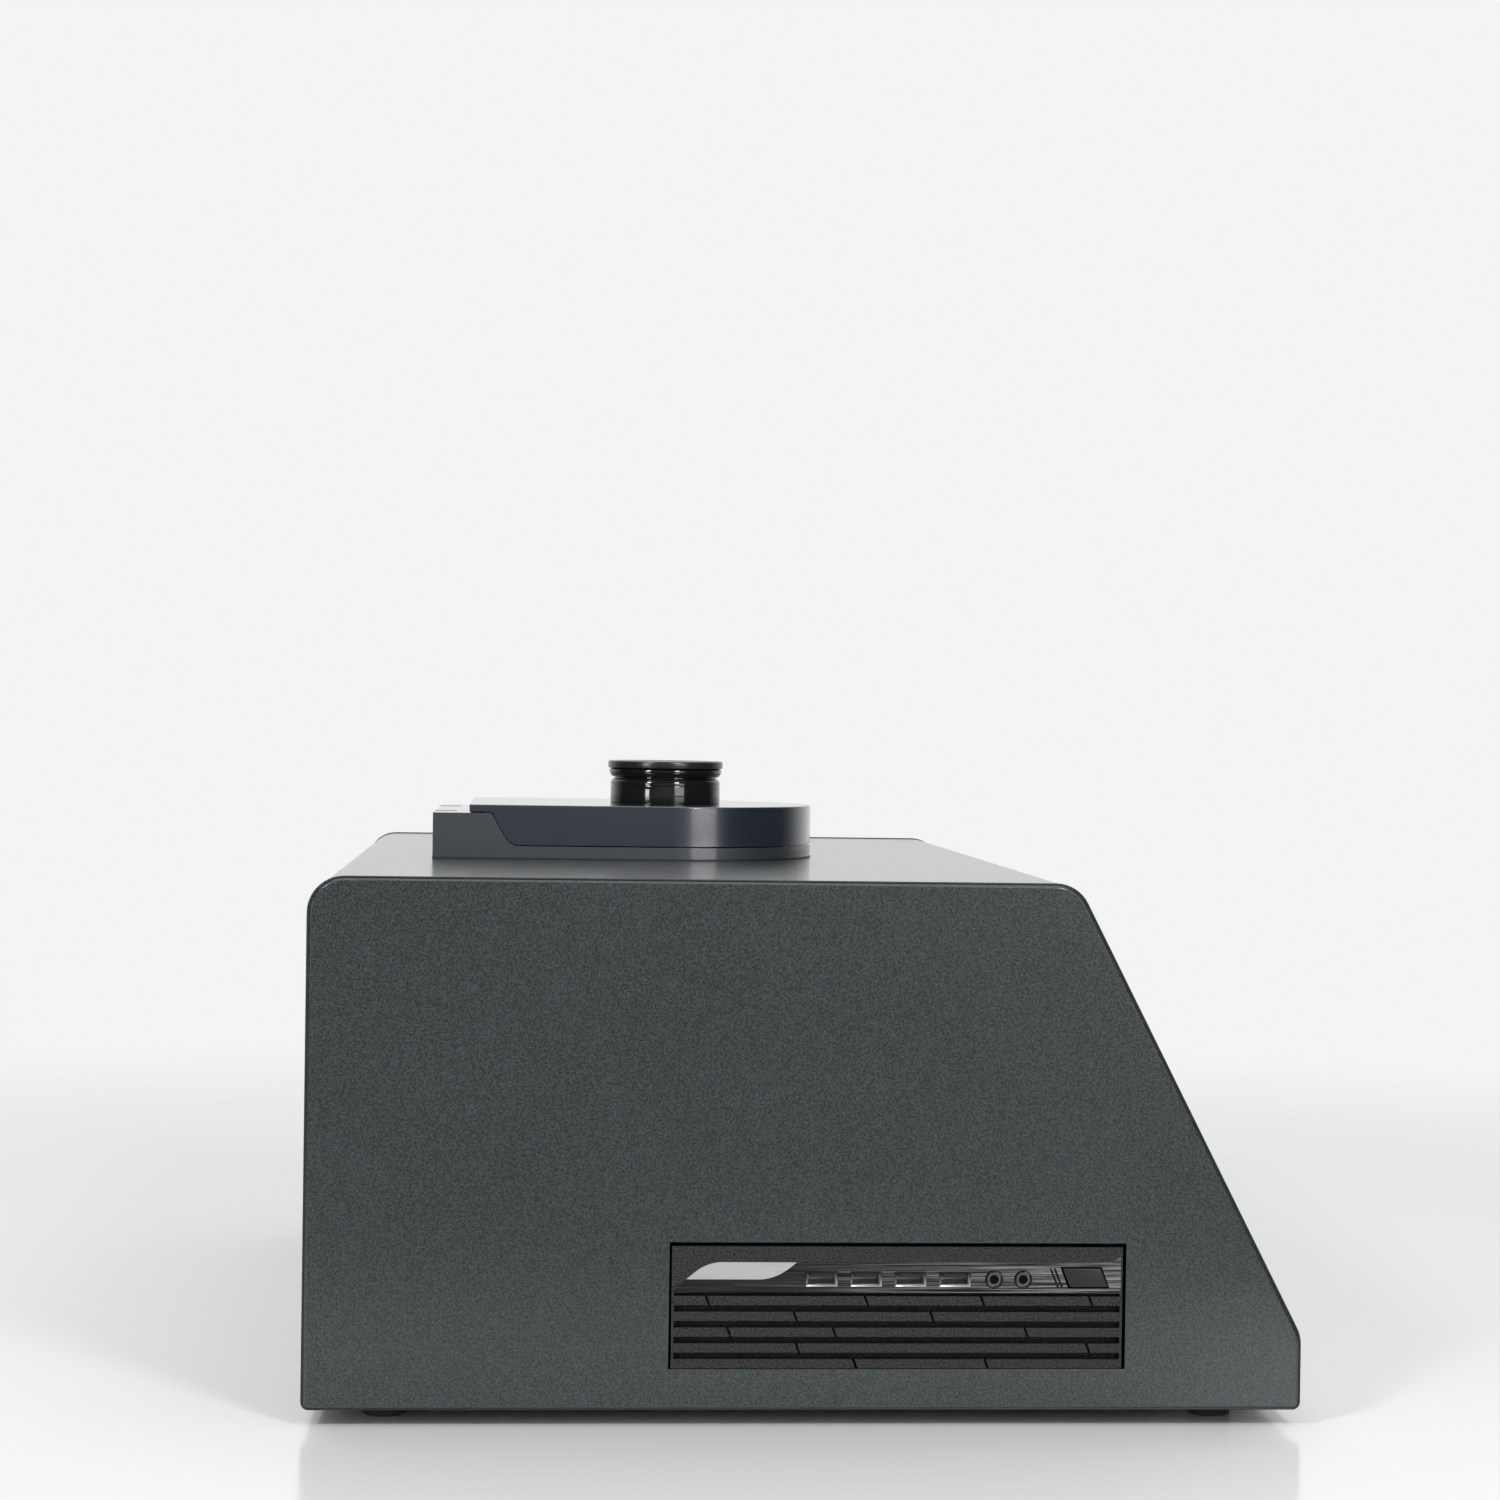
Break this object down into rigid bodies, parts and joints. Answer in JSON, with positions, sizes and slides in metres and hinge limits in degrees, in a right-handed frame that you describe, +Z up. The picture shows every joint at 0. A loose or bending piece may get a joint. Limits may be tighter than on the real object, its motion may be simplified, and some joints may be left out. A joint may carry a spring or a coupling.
{
  "type": "near-infrared grain analyzer",
  "caption": "Wedge-shaped bench analyser with a sloped touch display, a hinged sample stage with a geared turntable on top and a small computer behind a window in its side.",
  "frame": {"origin": "middle of the case's footprint, on the surface that the feet stand on", "axes": "+X toward the sloped display face, +Z up, +Y to the far side panel, away from the side with the small computer"},
  "size_m": [0.45, 0.55, 0.2951],
  "materials": {
    "case_paint": "fine textured powder coat",
    "plated_sheet": "zinc plated sheet",
    "rubber": "matt moulded rubber",
    "screw_steel": "zinc plated",
    "display_glass": "black touch glass",
    "black_plastic": "moulded, fine grain",
    "stage_metal": "dark satin anodised",
    "lid_metal": "dark blue satin anodised",
    "knob_black": "gloss",
    "knob_satin": "satin turned",
    "bronze": "sintered bronze",
    "milled_metal": "milled",
    "gear_steel": "cut and oiled",
    "motor_black": "black laminations",
    "optical_glass": "polished",
    "bezel_plastic": "moulded, fine grain",
    "trim_metal": "brushed dark metal",
    "badge_metal": "brushed silver",
    "led_lens": "smoked lens",
    "board_green": "solder resist"
  },
  "bodies": {
    "case": {"audio_jacks": "black_plastic", "base_plate": "plated_sheet", "bench_posts": "milled_metal", "board_standoffs": "milled_metal", "case_wrap": "case_paint", "control_board": "board_green", "display_frame": "black_plastic", "drive_plate": "milled_metal", "drive_posts": "milled_metal", "fan_frame": "black_plastic", "far_side_panel": "case_paint", "foot_front_far": "rubber", "foot_front_near": "rubber", "foot_rear_far": "rubber", "foot_rear_near": "rubber", "foot_screws": "screw_steel", "halogen_lamp": "optical_glass", "hinge_pin": "screw_steel", "inlet_pins": "screw_steel", "lamp_holder": "milled_metal", "lcd_module": "black_plastic", "light_coupling": "milled_metal", "near_side_panel": "case_paint", "objective_window": "optical_glass", "optical_bench": "milled_metal", "optical_head": "milled_metal", "pc_badge": "badge_metal", "pc_bezel": "bezel_plastic", "pc_board": "board_green", "pc_bracket": "plated_sheet", "pc_case": "plated_sheet", "pc_led_bar": "led_lens", "pc_trim_band": "trim_metal", "power_inlet": "black_plastic", "power_supply": "plated_sheet", "rear_io_pan": "milled_metal", "spectrometer_box": "milled_metal", "spectrometer_cover": "plated_sheet", "stage_base": "stage_metal", "stage_screws": "screw_steel", "stage_seal": "rubber", "stepper_motor": "motor_black", "switch_frame": "black_plastic", "touch_glass": "display_glass", "turntable_bush": "bronze", "usb_shells": "screw_steel", "usb_tongues": "black_plastic"},
    "lid": {"lid_shell": "lid_metal", "lid_knob": "knob_black", "knob_cap": "knob_satin", "knob_screw": "screw_steel"},
    "turntable": {"turntable": "milled_metal", "turntable_hub": "milled_metal", "ring_gear": "gear_steel", "sample_cup": "milled_metal", "cup_window": "optical_glass"},
    "pinion": {"drive_pinion": "gear_steel"},
    "fan": {"fan_rotor": "black_plastic"},
    "power_button": {"pc_power_button": "bezel_plastic"},
    "rocker": {"power_rocker": "black_plastic"}
  },
  "joints": [
    {"name": "lid_hinge", "type": "hinge", "parent": "case", "child": "lid", "pos_m": [-0.1649, 0, 0.2622], "axis": [0, -1, 0], "range_deg": [0, 90]},
    {"name": "turntable_spin", "type": "hinge", "parent": "case", "child": "turntable", "pos_m": [-0.0554, 0, 0.245], "axis": [0, 0, 1], "continuous": true},
    {"name": "motor_spin", "type": "hinge", "parent": "case", "child": "pinion", "pos_m": [-0.1154, 0, 0.229], "axis": [0, 0, 1], "continuous": true},
    {"name": "fan_spin", "type": "hinge", "parent": "case", "child": "fan", "pos_m": [-0.211, 0.19, 0.15], "axis": [1, 0, 0], "continuous": true},
    {"name": "power_button_press", "type": "slide", "parent": "case", "child": "power_button", "axis": [0, 1, 0], "range_m": [0, 0.0008], "stiffness_N_per_m": 500, "springref_m": -0.0005},
    {"name": "power_switch_rock", "type": "hinge", "parent": "case", "child": "rocker", "pos_m": [-0.2135, -0.1, 0.06], "axis": [0, 1, 0], "range_deg": [-16, 0]}
  ],
  "couplings": [
    {"joint": "motor_spin", "follows": "turntable_spin", "ratio": -4.7143}
  ]
}
